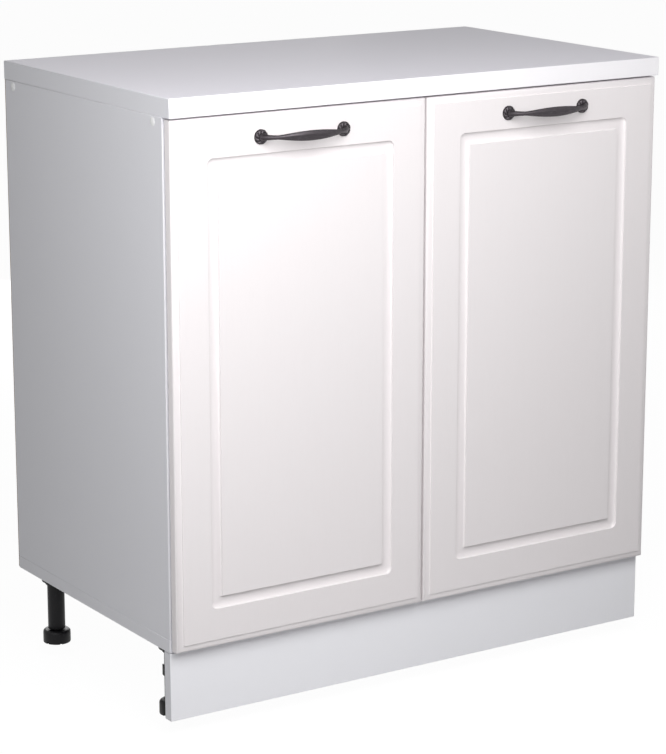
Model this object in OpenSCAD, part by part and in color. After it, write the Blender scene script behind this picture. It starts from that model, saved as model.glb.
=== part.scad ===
// Two-door kitchen base cabinet: laminated board carcass on levelling legs, square-edged worktop,
// wrapped doors with a raised centre panel, arched handles and concealed cup hinges.
// X runs along the width, Y to the back and Z up; the origin is on the floor under the middle.

/* [Carcass] */
// Width over the side panels and of the worktop
cabinet_w = 800; // [600:10:1000]
// Height of the carcass, from under the bottom panel to the top of the sides
carcass_h = 720; // [640:10:800]
// Depth of the side panels, without the back panel
side_depth = 448; // [400:1:560]
// Thickness of the carcass boards
board_t = 18; // [16:0.5:19]
// Thickness of the hardboard back panel
back_t = 3; // [3:0.5:5]
// Width of the two flat rails under the worktop
rail_w = 64; // [60:1:90]
// Height of the shelf's underside over the bottom panel
shelf_rise = 336; // [240:32:432]
// Distance of the shelf's front edge behind the carcass front
shelf_setback = 32; // [20:1:80]
// Room at each end of the shelf
shelf_play = 1; // [0.5:0.5:2]

/* [Worktop] */
// Thickness of the worktop
worktop_t = 26; // [22:1:40]
// How far the worktop's front edge stands in front of the doors
worktop_lip = 1; // [0:0.5:20]

/* [Plinth and legs] */
// Clear height under the bottom panel
leg_h = 100; // [90:5:150]
// Room between the plinth and the floor
plinth_lift = 3; // [1:0.5:6]
// Room between the plinth and the bottom panel
plinth_drop = 4; // [1:0.5:6]
// Thickness of the plinth board
plinth_t = 16; // [12:1:19]
// Distance of each leg's axis from the cabinet's outer side
leg_inset_x = 26; // [24:1:80]
// Distance of the front legs' axis behind the carcass front
leg_front_y = 37; // [37:1:90]
// Distance of the back legs' axis in front of the side panel's back edge
leg_back_y = 65; // [40:1:90]
// Outer radius of the leg tube
leg_r = 12.5; // [11:0.5:14]
// Radius of the foot
foot_r = 20; // [17:0.5:24]
// Height of the foot's moulded base
foot_h = 19; // [16:1:24]
// Radius of the threaded spindle on the foot
spindle_r = 6; // [5:0.5:7]
// Length of the threaded spindle
spindle_l = 46; // [36:1:50]

/* [Doors] */
// Thickness of the doors
door_t = 16; // [16:0.5:19]
// Room between the doors and the carcass, filled by the bumpers
door_back_gap = 2; // [1.8:0.1:3]
// Distance of each door's outer edge inside the cabinet's side
door_reveal = 2.5; // [2:0.5:3]
// Gap between the two doors
door_gap = 3; // [2:0.5:5]
// Door's upper edge below the top of the carcass
door_top_gap = 2.5; // [1.5:0.5:5]
// Door's lower edge above the underside of the bottom panel
door_low_gap = 3.5; // [0:0.5:6]
// Width of the rounded band round the front
bevel_w = 9.5; // [4:0.5:12]
// Depth of the rounded band at the door's edge
bevel_d = 5; // [2:0.5:6]
// Small step between the flat front and the rounded band
bevel_step = 1.5; // [0.2:0.1:2]
// Width of the flat frame, from the door's edge to the groove
frame_w = 53; // [46:1:70]
// Width of the milled groove
groove_w = 17; // [12:1:24]
// Depth of the milled groove
groove_d = 5; // [2:0.5:6]

/* [Handles] */
// Distance between the handle's screws
handle_span = 128; // [96:32:160]
// Handle's axis below the door's upper edge
handle_drop = 31; // [24:1:40]
// Handle's outermost point in front of the door
handle_reach = 28; // [24:1:40]
// Radius of the round base under each end
rosette_r = 10; // [8:0.5:12]
// Height of the round base
rosette_h = 6; // [4:0.5:8]
// Height of the bow at its middle
bow_h = 13.5; // [8:0.5:18]
// Thickness of the bow at its middle
bow_t = 6; // [4:0.5:8]
// Radius of the bow where it leaves the round bases
bow_end_r = 4.5; // [3:0.1:4.5]
// Radius of the bow's slim necks
bow_neck_r = 2.8; // [2:0.1:3]
// How far the bow leans inwards as it leaves the bases
bow_lean = 12; // [4:1:24]

/* [Hinges] */
// Hinge's height above the door's lower edge, and below its upper edge
hinge_inset = 100; // [80:5:140]
// Radius of the hinge cup's body
cup_r = 17.5; // [17.5:0.5:17.5]
// Depth of the hinge cup under the door's back face
cup_depth = 11.2; // [11:0.1:11.4]
// Wood left between the cup and the door's edge
cup_tab = 3; // [3:0.5:4]
// Half the width of the hinge arm's nose
arm_half_w = 5.5; // [5:0.1:5.5]
// Radius of the hinge pins
pin_r = 1.5; // [1.2:0.1:1.6]

/* [Fasteners] */
// Radius of a confirmat screw's shank
confirmat_r = 2.5; // [2.5:0.1:3.5]
// Radius of a confirmat screw's head
confirmat_head_r = 5; // [4.5:0.1:5]
// Length of a confirmat screw
confirmat_l = 50; // [45:1:50]
// Radius of the white screw caps
cap_r = 6.25; // [6:0.25:7]
// Thickness of the white screw caps
cap_t = 1.2; // [0.8:0.1:2]
// Screw's distance under the top of the sides
cap_drop = 8; // [8:0.5:9]
// Front screw's distance behind the carcass front
cap_front = 24; // [20:1:30]
// Back screw's distance in front of the carcass back
cap_back = 28; // [24:1:34]
// Room round a screw or dowel in its hole
hole_play = 0.05; // [0.02:0.01:0.1]

/* [Hidden] */
$fn = 48;
half_w = cabinet_w / 2;
// The box round everything is centred on the origin, from the handles to the back panel
total_depth = handle_reach + door_t + door_back_gap + side_depth + back_t;
front_y = handle_reach + door_t + door_back_gap - total_depth / 2;
back_y = front_y + side_depth;
worktop_depth = worktop_lip + door_t + door_back_gap + side_depth + back_t;
base_z = leg_h;
floor_z = base_z + board_t;
top_z = base_z + carcass_h;
rail_l = cabinet_w - 2 * board_t;
shelf_z = floor_z + shelf_rise;
door_z0 = base_z + door_low_gap;
door_z1 = top_z - door_top_gap;
door_h = door_z1 - door_z0;
door_w = half_w - door_reveal - door_gap / 2;
door_back_y = front_y - door_back_gap;
door_front_y = door_back_y - door_t;
handle_x = door_gap / 2 + door_w / 2;
handle_z = door_z1 - handle_drop;
hinge_zs = [door_z0 + hinge_inset, door_z1 - hinge_inset];
cap_ys = [front_y + cap_front, back_y + back_t - cap_back];
cap_z = top_z - cap_drop;
dowel_r = 4;
dowel_l = 30;
dowel_side = 12;
// Dowels stand this far from the screw, towards the rail's other edge
dowel_step = 24;
dowel_ys = [cap_ys[0] + dowel_step, cap_ys[1] - dowel_step];
leg_xs = [-half_w + leg_inset_x, half_w - leg_inset_x];
leg_ys = [front_y + leg_front_y, back_y - leg_back_y];
// The screws up into the sides stand clear of the legs' flanges
base_screw_gap = 33;
base_screw_ys = [leg_ys[0] + base_screw_gap, leg_ys[1] - base_screw_gap];
leg_flange_r = 20;
leg_flange_t = 7;
leg_step_r = 15.1;
leg_step_t = 5;
leg_bottom_z = foot_h + 1.2;
leg_screw_ring = 17.4;
leg_screw_r = 1.25;
leg_screw_l = 18;
clip_z = 62;
clip_h = 13;
clip_wall = 2.4;
plinth_z1 = base_z - plinth_drop;
// Local hinge positions: along the width from the cabinet's side, and behind the carcass front
arm_pin = [35.05, -9.1];
cup_pin = [11.55, -7.15];
cup_u = door_reveal + cup_tab + cup_r;
cup_wall = 0.9;
cup_floor = 0.6;
cup_rim_t = 0.8;
cup_screw_u = 6;
cup_screw_w = 24;
arm_wall = 1.2;
arm_top = arm_pin[0] + 2.6;
arm_len = 62;
plate_v = 37;
plate_screw_w = 16;
plate_wing_t = 2.6;
link_half_w = arm_half_w - arm_wall - 0.15;
nail_r = 0.8;
nail_l = 25;
shelf_t = board_t;
pin_hole_r = 2.5;
// Distance of the shelf pins from the carcass front and back
pin_inset = 74;
pin_ys = [front_y + pin_inset, back_y - pin_inset];
// Distance of the worktop's screws from the cabinet's sides
worktop_screw_inset = 160;
// Where the plate's spine starts behind the carcass front, and its length
spine_v = 18;
spine_l = 40;

// Places a child on the left, and its mirror image on the right
module both_sides() {
    children();
    mirror([1, 0, 0]) children();
}

// Holes and screws that run along X from the side's outer face
module along_x(y, z, x = -half_w) {
    translate([x, y, z]) rotate([0, 90, 0]) children();
}

// Confirmat screw: flat head, then the shank, from its head's outer face
module confirmat(play = 0) {
    translate([0, 0, -play]) cylinder(h = 3 + 2 * play, r = confirmat_head_r + play);
    cylinder(h = confirmat_l + play, r = confirmat_r + play);
}

// Nails of the back panel, as [x, z] pairs
nail_rows = [for (i = [0:4]) base_z + 60 + i * (carcass_h - 120) / 4];
nail_cols = [for (i = [1:5]) -half_w + i * cabinet_w / 6];
nails = concat(
    [for (z = nail_rows) [-half_w + board_t / 2, z]],
    [for (z = nail_rows) [half_w - board_t / 2, z]],
    [for (x = nail_cols) [x, base_z + board_t / 2]],
    [for (x = nail_cols) [x, top_z - board_t / 2]]);

module nail(play = 0) {
    rotate([90, 0, 0]) {
        translate([0, 0, -0.6]) cylinder(h = 0.6, r = 1.9);
        cylinder(h = nail_l + play, r = nail_r + play);
    }
}

module all_nails(play = 0) {
    for (n = nails) translate([n[0], back_y + back_t, n[1]]) nail(play);
}

// Local hinge frame: X from the cabinet's side, Y behind the carcass front, Z from the hinge's middle
module left_hinges() {
    for (z = hinge_zs) translate([-half_w, front_y, z]) children();
}

module plate_screw(play = 0) {
    translate([board_t + plate_wing_t, plate_v, 0]) rotate([0, -90, 0]) {
        cylinder(h = plate_wing_t + 11 + play, r = 2.4 + play);
        if (play == 0) mirror([0, 0, 1]) cylinder(h = 1.6, r1 = 3.8, r2 = 3);
    }
}

module plate_screws() {
    color("silver") both_sides() left_hinges()
        for (w = [-1, 1]) translate([0, 0, w * plate_screw_w]) plate_screw();
}

module side_body() {
    difference() {
        translate([-half_w, front_y, floor_z]) cube([board_t, side_depth, carcass_h - board_t]);
        for (y = cap_ys) along_x(y, cap_z) confirmat(hole_play);
        for (y = dowel_ys) along_x(y, cap_z, -half_w + board_t - dowel_side - hole_play)
            cylinder(h = dowel_side + 1, r = dowel_r + hole_play);
        base_screw_set(hole_play);
        all_nails(hole_play);
        left_hinges() for (w = [-1, 1]) translate([0, 0, w * plate_screw_w]) plate_screw(hole_play);
        for (y = pin_ys, k = [-1:1]) along_x(y, shelf_z - pin_hole_r + k * 32, -half_w + board_t - 10)
            cylinder(h = 11, r = pin_hole_r + hole_play);
    }
}

module side_panel_left() { color("white") side_body(); }

module side_panel_right() { color("white") mirror([1, 0, 0]) side_body(); }

module base_screw_set(play = 0) {
    for (y = base_screw_ys) translate([-half_w + board_t / 2, y, base_z]) confirmat(play);
}

module base_screws() { color("silver") both_sides() base_screw_set(); }

module leg_screw_set(play = 0) {
    for (x = leg_xs, y = leg_ys, a = [45:90:315])
        translate([x, y, base_z - leg_flange_t]) rotate(a) translate([leg_screw_ring, 0, 0]) {
            cylinder(h = leg_screw_l + play, r = leg_screw_r + play);
            if (play == 0) mirror([0, 0, 1]) cylinder(h = 1.4, r1 = 2.1, r2 = 1.6);
        }
}

module leg_screws() { color("dimgray") leg_screw_set(); }

module bottom_panel() {
    color("white") difference() {
        translate([-half_w, front_y, base_z]) cube([cabinet_w, side_depth, board_t]);
        both_sides() base_screw_set(hole_play);
        leg_screw_set(hole_play);
        all_nails(hole_play);
    }
}

// One flat rail between the sides, from its front edge; k is 0 for the front rail, 1 for the back one
module rail(y, k) {
    difference() {
        translate([-rail_l / 2, y, top_z - board_t]) cube([rail_l, rail_w, board_t]);
        both_sides() {
            along_x(cap_ys[k], cap_z) confirmat(hole_play);
            along_x(dowel_ys[k], cap_z, -half_w + board_t - 1)
                cylinder(h = dowel_l - dowel_side + 1 + hole_play, r = dowel_r + hole_play);
        }
        worktop_screw_set(hole_play);
        all_nails(hole_play);
    }
}

module top_rail_front() { color("white") rail(front_y, 0); }

module top_rail_back() { color("white") rail(back_y - rail_w, 1); }

module rail_screws() {
    color("silver") both_sides() for (y = cap_ys) along_x(y, cap_z) confirmat();
}

module rail_dowels() {
    color("burlywood") both_sides() for (y = dowel_ys)
        along_x(y, cap_z, -half_w + board_t - dowel_side) cylinder(h = dowel_l, r = dowel_r);
}

// White plastic cap over each rail screw, with a rounded rim
module screw_caps() {
    color("white") both_sides() for (y = cap_ys) along_x(y, cap_z) mirror([0, 0, 1])
        rotate_extrude() polygon([[0, 0], [cap_r, 0], [cap_r, cap_t * 0.4], [cap_r - cap_t * 0.6, cap_t],
            [0, cap_t]]);
}

module worktop_screw_set(play = 0) {
    for (x = [-1, 1], y = [front_y + rail_w / 2, back_y - rail_w / 2])
        translate([x * (half_w - worktop_screw_inset), y, top_z - board_t]) {
            cylinder(h = board_t + 14 + play, r = 1.9 + play);
            if (play == 0) mirror([0, 0, 1]) cylinder(h = 2, r1 = 4, r2 = 2.6);
        }
}

module worktop_screws() { color("silver") worktop_screw_set(); }

module worktop() {
    color("white") difference() {
        translate([-half_w, door_front_y - worktop_lip, top_z]) cube([cabinet_w, worktop_depth, worktop_t]);
        worktop_screw_set(hole_play);
    }
}

// Hardboard back, nailed to the back edges and 1 mm inside the outline
module back_panel() {
    color("whitesmoke") difference() {
        translate([1 - half_w, back_y, base_z + 1]) cube([cabinet_w - 2, back_t, carcass_h - 1]);
        all_nails(hole_play);
    }
}

module back_nails() { color("silver") all_nails(); }

module shelf() {
    color("white") translate([-rail_l / 2 + shelf_play, front_y + shelf_setback, shelf_z])
        cube([rail_l - 2 * shelf_play, side_depth - shelf_setback - 1, shelf_t]);
}

// Shelf pin: stem in the side's hole, with a flat-topped tongue under the shelf
module shelf_pins() {
    color("silver") both_sides() for (y = pin_ys) {
        along_x(y, shelf_z - pin_hole_r, -half_w + board_t - 9) cylinder(h = 9, r = pin_hole_r);
        difference() {
            along_x(y, shelf_z - pin_hole_r, -half_w + board_t) cylinder(h = 8, r = 5);
            translate([-half_w, y - 10, shelf_z]) cube([board_t + 20, 20, 20]);
        }
    }
}

// Plinth board, clear of the floor and of the bottom panel
module plinth() {
    color("white") difference() {
        translate([-half_w + 0.5, front_y, plinth_lift])
            cube([cabinet_w - 1, plinth_t, plinth_z1 - plinth_lift]);
        clip_screw_set(hole_play);
    }
}

module clip_screw_set(play = 0) {
    for (x = leg_xs, s = [-1, 1])
        translate([x + s * 16, front_y + plinth_t + clip_wall, clip_z]) rotate([90, 0, 0]) {
            cylinder(h = clip_wall + 10 + play, r = 1.5 + play);
            if (play == 0) mirror([0, 0, 1]) cylinder(h = 1.4, r1 = 2.8, r2 = 2);
        }
}

module clip_screws() { color("silver") clip_screw_set(); }

// Clip: a plate on the back of the plinth, a neck, and a sprung ring open at the back
module plinth_clips() {
    ring_in = leg_r + 0.1;
    ring_out = ring_in + clip_wall;
    plate_y = front_y + plinth_t;
    color("dimgray") for (x = leg_xs) difference() {
        union() {
            translate([x - 22, plate_y, clip_z - clip_h / 2]) cube([44, clip_wall, clip_h]);
            translate([x - 4, plate_y, clip_z - clip_h / 2]) cube([8, leg_front_y - plinth_t - leg_r, clip_h]);
            translate([x, leg_ys[0], clip_z - clip_h / 2]) cylinder(h = clip_h, r = ring_out);
        }
        translate([x, leg_ys[0], clip_z - clip_h]) cylinder(h = 2 * clip_h, r = ring_in);
        translate([x - ring_in * 0.8, leg_ys[0] + ring_in * 0.5, clip_z - clip_h])
            cube([ring_in * 1.6, ring_out, 2 * clip_h]);
        clip_screw_set(hole_play);
    }
}

// Levelling leg: stepped flange, tube, and a bore for the foot's spindle
module leg(x, y) {
    color("black") translate([x, y, 0]) difference() {
        rotate_extrude() polygon([[0, base_z], [leg_flange_r, base_z],
            [leg_flange_r, base_z - leg_flange_t], [leg_step_r, base_z - leg_flange_t],
            [leg_step_r, base_z - leg_flange_t - leg_step_t + 1],
            [leg_step_r - 1, base_z - leg_flange_t - leg_step_t],
            [leg_r, base_z - leg_flange_t - leg_step_t], [leg_r, leg_bottom_z], [0, leg_bottom_z]]);
        translate([0, 0, leg_bottom_z - 1]) cylinder(h = base_z - leg_bottom_z - 5, r = spindle_r + 0.05);
        translate([0, 0, -base_z]) translate([-x, -y, base_z]) leg_screw_set(hole_play);
    }
}

module leg_front_left() { leg(leg_xs[0], leg_ys[0]); }

module leg_front_right() { leg(leg_xs[1], leg_ys[0]); }

module leg_back_left() { leg(leg_xs[0], leg_ys[1]); }

module leg_back_right() { leg(leg_xs[1], leg_ys[1]); }

// Screw foot: rounded skirt with six notches in the lower rim, and the spindle
module foot(x, y) {
    edge = 4;
    color("black") translate([x, y, 0]) {
        difference() {
            rotate_extrude() {
                square([foot_r - edge, foot_h]);
                square([foot_r, foot_h - edge]);
                translate([foot_r - edge, foot_h - edge]) intersection() {
                    circle(r = edge);
                    square(edge);
                }
            }
            for (a = [20:60:320]) rotate(x < 0 ? a : 180 - a) translate([foot_r - 3, -1.5, -1]) cube([5, 3, 4]);
        }
        cylinder(h = foot_h + spindle_l, r = spindle_r);
        translate([0, 0, foot_h]) cylinder(h = 1, r = 9);
    }
}

module foot_front_left() { foot(leg_xs[0], leg_ys[0]); }

module foot_front_right() { foot(leg_xs[1], leg_ys[0]); }

module foot_back_left() { foot(leg_xs[0], leg_ys[1]); }

module foot_back_right() { foot(leg_xs[1], leg_ys[1]); }

// Hinge mounting plate: two wings on the side panel and a spine inside the arm
module hinge_plate() {
    spine = link_half_w;
    difference() {
        union() {
            translate([board_t, plate_v - 8, -24]) cube([plate_wing_t, 16, 48]);
            translate([board_t, spine_v, -spine]) cube([arm_top - arm_wall - board_t, spine_l, 2 * spine]);
        }
        for (w = [-1, 1]) translate([0, 0, w * plate_screw_w]) plate_screw(hole_play);
        arm_screw_set(hole_play);
    }
}

module hinge_plates() { color("silver") both_sides() left_hinges() hinge_plate(); }

// Clamping screw and adjusting screw, through the arm's web into the plate's spine
module arm_screw_set(play = 0) {
    for (v = [28, 48]) translate([arm_top, v, 0]) rotate([0, -90, 0]) {
        cylinder(h = arm_wall + 9 + play, r = 2 + play);
        if (play == 0) mirror([0, 0, 1]) cylinder(h = 1.6, r = 3.6);
    }
}

module arm_screws() { color("silver") both_sides() left_hinges() arm_screw_set(); }

// Hinge arm: a channel whose two walls narrow to the nose that carries the link's pin
module hinge_arm() {
    low = board_t + 8;
    difference() {
        translate([0, 0, -arm_half_w]) linear_extrude(2 * arm_half_w) union() {
            translate(arm_pin) circle(r = 2.6);
            polygon([[arm_pin[0] - 2.6, arm_pin[1]], [arm_pin[0] - 2.6, 2], [low, 9], [low, arm_len],
                [arm_top, arm_len], [arm_top, arm_pin[1]]]);
        }
        translate([-10, -40, -arm_half_w + arm_wall])
            cube([arm_top - arm_wall + 10, 140, 2 * (arm_half_w - arm_wall)]);
        translate([0, -40, -arm_half_w + arm_wall]) cube([60, 42, 2 * (arm_half_w - arm_wall)]);
        translate([arm_pin[0], arm_pin[1], -20]) cylinder(h = 40, r = pin_r + hole_play);
        arm_screw_set(hole_play);
    }
}

module hinge_arms() { color("silver") both_sides() left_hinges() hinge_arm(); }

module arm_pins() {
    color("gray") both_sides() left_hinges()
        translate([arm_pin[0], arm_pin[1], -arm_half_w]) cylinder(h = 2 * arm_half_w, r = pin_r);
}

// Point and normal of the link's curved middle line, from the arm pin to the cup pin
function bezier(a, b, c, d, t) = (1 - t) ^ 3 * a + 3 * (1 - t) ^ 2 * t * b + 3 * (1 - t) * t ^ 2 * c + t ^ 3 * d;
link_bend = [[27.6, -5.4], [19.5, -15.1]];
function link_point(t) = bezier(arm_pin, link_bend[0], link_bend[1], cup_pin, t);
function unit(v) = v / norm(v);
function link_normal(t) = let (d = unit(link_point(t + 0.01) - link_point(t - 0.01))) [-d[1], d[0]];

// Hinge link: a bent strip with an eye on the arm pin and a rolled end between the cup's stub pins
module hinge_link() {
    thick = 1.5;
    steps = 14;
    left_edge = [for (i = [0:steps]) link_point(i / steps) + thick * link_normal(i / steps)];
    right_edge = [for (i = [steps:-1:0]) link_point(i / steps) - thick * link_normal(i / steps)];
    translate([0, 0, -link_half_w]) linear_extrude(2 * link_half_w) difference() {
        union() {
            polygon(concat(left_edge, right_edge));
            translate(arm_pin) circle(r = 2.6);
            translate(cup_pin) circle(r = 1.6);
        }
        translate(arm_pin) circle(r = pin_r + hole_play);
    }
}

module left_hinge_links() { color("silver") left_hinges() hinge_link(); }

module right_hinge_links() { color("silver") mirror([1, 0, 0]) left_hinges() hinge_link(); }

// Hinge cup: round shell in the door, rim with two screw ears, and lugs with stub pins
module hinge_cup() {
    stub_in = arm_half_w - 1.1;
    lug_in = arm_half_w + 0.3;
    rim_y = -door_back_gap;
    difference() {
        union() {
            translate([cup_u, rim_y, 0]) rotate([90, 0, 0]) difference() {
                cylinder(h = cup_depth, r = cup_r - 2 * hole_play);
                translate([0, 0, -1]) cylinder(h = cup_depth + 1 - cup_floor, r = cup_r - 2 * hole_play - cup_wall);
            }
            translate([cup_u, rim_y, 0]) rotate([-90, 0, 0]) difference() {
                union() {
                    cylinder(h = cup_rim_t, r = cup_r + 1);
                    translate([-8, -29, 0]) cube([20, 58, cup_rim_t]);
                }
                translate([0, 0, -1]) cylinder(h = 3, r = cup_r - 2 * hole_play - cup_wall);
            }
            intersection() {
                translate([cup_u, rim_y, 0]) rotate([90, 0, 0]) cylinder(h = cup_depth, r = cup_r - 2 * hole_play);
                for (s = [-1, 1]) translate([cup_pin[0] - 6, cup_pin[1] - 6, s > 0 ? lug_in : -lug_in - 2.4])
                    cube([8.2, 8.2, 2.4]);
            }
            for (s = [-1, 1]) translate([cup_pin[0], cup_pin[1], s > 0 ? stub_in : -lug_in])
                cylinder(h = lug_in - stub_in, r = pin_r);
        }
        cup_screw_set(hole_play);
    }
}

module cup_screw_set(play = 0) {
    for (s = [-1, 1])
        translate([cup_u + cup_screw_u, cup_rim_t - door_back_gap, s * cup_screw_w]) rotate([90, 0, 0]) {
            cylinder(h = cup_rim_t + 10 + play, r = 1.6 + play);
            if (play == 0) mirror([0, 0, 1]) cylinder(h = 1, r1 = 3.2, r2 = 2.4);
        }
}

module left_hinge_cups() { color("silver") left_hinges() hinge_cup(); }

module right_hinge_cups() { color("silver") mirror([1, 0, 0]) left_hinges() hinge_cup(); }

module left_cup_screws() { color("gray") left_hinges() cup_screw_set(); }

module right_cup_screws() { color("gray") mirror([1, 0, 0]) left_hinges() cup_screw_set(); }

// Section of the door across a span: a round from the side face up to a small step, then the flat front
function edge_point(a) = [bevel_w * (1 - sin(a)), door_t - bevel_d + (bevel_d - bevel_step) * cos(a)];
edge_line = concat([for (a = [90:-22.5:0]) edge_point(a)], [[bevel_w, door_t]]);

module door_section(span) {
    polygon(concat([[0, 0]], edge_line, [for (i = [len(edge_line) - 1:-1:0]) [span - edge_line[i][0], edge_line[i][1]]],
        [[span, 0]]));
}

// Half of the groove's section, as the cutter leaves it: flat in the middle and steep at the edge
groove_shares = [0, 0.3, 0.55, 0.75, 0.9, 0.97, 1];
groove_half = [for (s = groove_shares) [s * groove_w / 2, -groove_d * (1 - s * s) ^ 0.65]];

module groove_section() {
    polygon(concat([[-groove_w / 2, 1]], [for (i = [len(groove_half) - 1:-1:1]) [-groove_half[i][0], groove_half[i][1]]],
        groove_half, [[groove_w / 2, 1]]));
}

// Groove round the centre panel: four straight cuts, and a round end of the cutter at each corner
module groove() {
    a = frame_w + groove_w / 2;
    b = door_w - a;
    c = door_h - a;
    for (x = [a, b]) translate([x, c, door_t]) rotate([90, 0, 0]) linear_extrude(c - a) groove_section();
    for (y = [a, c]) translate([a, y, door_t]) rotate([90, 0, 90]) linear_extrude(b - a) groove_section();
    for (x = [a, b], y = [a, c]) translate([x, y, door_t])
        rotate_extrude() polygon(concat([[0, 1]], groove_half, [[groove_w / 2, 1]]));
}

// Door in its own plane: X along the width from the hinge edge, Y up, Z out of the front face
module door_body() {
    difference() {
        intersection() {
            rotate([90, 0, 90]) linear_extrude(door_w) door_section(door_h);
            translate([0, door_h, 0]) rotate([90, 0, 0]) linear_extrude(door_h) door_section(door_w);
        }
        groove();
        for (s = [-1, 1]) translate([door_w / 2 + s * handle_span / 2, door_h - handle_drop, -1])
            cylinder(h = door_t + 2, r = 2.1);
    }
}

module left_door_body() {
    difference() {
        translate([-half_w + door_reveal, door_back_y, door_z0]) rotate([90, 0, 0]) door_body();
        left_hinges() {
            translate([cup_u, -door_back_gap + 1, 0]) rotate([90, 0, 0]) cylinder(h = cup_depth + 1, r = cup_r);
            cup_screw_set(hole_play);
        }
    }
}

module left_door() { color("white") left_door_body(); }

module right_door() { color("white") mirror([1, 0, 0]) left_door_body(); }

// Handle's bow, swept along an arch: slim at the ends and a tall flat oval in the middle
bow_steps = 28;
bow_sides = 16;
bow_rise = rosette_h + (handle_reach - bow_t / 2 - rosette_h) / 0.75;
function bow_point(t) = bezier([-handle_span / 2, rosette_h], [-handle_span / 2 + bow_lean, bow_rise],
    [handle_span / 2 - bow_lean, bow_rise], [handle_span / 2, rosette_h], t);
function bow_dir(t) = t <= 0 ? [0, 1] : t >= 1 ? [0, -1] : unit(bow_point(t + 0.004) - bow_point(t - 0.004));
// The bow flares at its ends, is slim at the necks and swells towards the middle
function flare(t) = max(0, 1 - min(t, 1 - t) / 0.17) ^ 1.1;
function swell(t) = sin(90 * max(0, min(t, 1 - t) - 0.18) / 0.32) ^ 1.3;
function bow_ring(t) = let (p = bow_point(t), d = bow_dir(t), n = [-d[1], d[0]],
    neck = bow_neck_r + (bow_end_r - bow_neck_r) * flare(t),
    a = neck + (bow_t / 2 - bow_neck_r) * swell(t), b = neck + (bow_h / 2 - bow_neck_r) * swell(t))
    [for (k = [0:bow_sides - 1]) let (q = 360 * k / bow_sides)
        [p[0] + n[0] * a * cos(q), -p[1] - n[1] * a * cos(q), b * sin(q)]];

module bow() {
    rings = [for (i = [0:bow_steps]) bow_ring(i / bow_steps)];
    points = [for (r = rings, p = r) p];
    skin = [for (i = [0:bow_steps - 1], k = [0:bow_sides - 1])
        let (a = i * bow_sides + k, b = i * bow_sides + (k + 1) % bow_sides)
        each [[a, a + bow_sides, b], [b, a + bow_sides, b + bow_sides]]];
    ends = [[for (k = [0:bow_sides - 1]) k],
        [for (k = [bow_sides - 1:-1:0]) bow_steps * bow_sides + k]];
    polyhedron(points, concat(skin, ends), convexity = 6);
}

// Places a child on the left door's front face, at the middle between the handle's screws
module at_left_handle() { translate([-handle_x, door_front_y, handle_z]) children(); }

module left_handle() { color("dimgray") at_left_handle() bow(); }

module right_handle() { color("dimgray") mirror([1, 0, 0]) at_left_handle() bow(); }

// Round base: a low dome with a small collar under the bow, threaded from the back
module rosette() {
    rotate([90, 0, 0]) difference() {
        rotate_extrude() polygon([[0, 0], [rosette_r, 0], [rosette_r, rosette_h * 0.25],
            [rosette_r * 0.9, rosette_h * 0.5], [rosette_r * 0.66, rosette_h * 0.75],
            [bow_end_r + 1.2, rosette_h * 0.85], [bow_end_r + 0.6, rosette_h], [0, rosette_h]]);
        translate([0, 0, -1]) cylinder(h = rosette_h, r = 2 + hole_play);
    }
}

module rosettes() {
    at_left_handle() for (s = [-1, 1]) translate([s * handle_span / 2, 0, 0]) rosette();
}

module left_rosettes() { color("dimgray") rosettes(); }

module right_rosettes() { color("dimgray") mirror([1, 0, 0]) rosettes(); }

// Handle screws from inside the door into the round bases
module handle_screw_set() {
    for (s = [-1, 1]) translate([s * handle_span / 2 - handle_x, door_back_y, handle_z])
        rotate([90, 0, 0]) {
            cylinder(h = door_t + rosette_h - 1.2, r = 2);
            mirror([0, 0, 1]) cylinder(h = 2.2, r1 = 4, r2 = 3);
        }
}

module left_handle_screws() { color("silver") handle_screw_set(); }

module right_handle_screws() { color("silver") mirror([1, 0, 0]) handle_screw_set(); }

// Clear bumpers between the door's free edge and the carcass
module bumpers() {
    for (z = [base_z + board_t / 2 + 2, top_z - board_t / 2 - 1])
        translate([-door_gap / 2 - 16, front_y, z]) rotate([90, 0, 0]) cylinder(h = door_back_gap, r = 4.5);
}

module left_bumpers() { color("lightgray") bumpers(); }

module right_bumpers() { color("lightgray") mirror([1, 0, 0]) bumpers(); }

worktop();
side_panel_left();
side_panel_right();
bottom_panel();
top_rail_front();
top_rail_back();
back_panel();
back_nails();
shelf();
shelf_pins();
worktop_screws();
rail_screws();
rail_dowels();
screw_caps();
base_screws();
plinth();
plinth_clips();
clip_screws();
leg_front_left();
leg_front_right();
leg_back_left();
leg_back_right();
leg_screws();
foot_front_left();
foot_front_right();
foot_back_left();
foot_back_right();
hinge_plates();
plate_screws();
hinge_arms();
arm_screws();
arm_pins();
left_hinge_links();
right_hinge_links();
left_door();
left_hinge_cups();
left_cup_screws();
left_handle();
left_rosettes();
left_handle_screws();
left_bumpers();
right_door();
right_hinge_cups();
right_cup_screws();
right_handle();
right_rosettes();
right_handle_screws();
right_bumpers();
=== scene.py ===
"""Looks of a two-door kitchen base cabinet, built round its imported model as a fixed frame.

Lengths are in metres. X runs along the width, Y to the back and Z up.
"""

import math

import bmesh
import bpy
from bpy.props import FloatProperty, FloatVectorProperty, IntProperty, PointerProperty
from mathutils import Matrix, Vector


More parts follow.
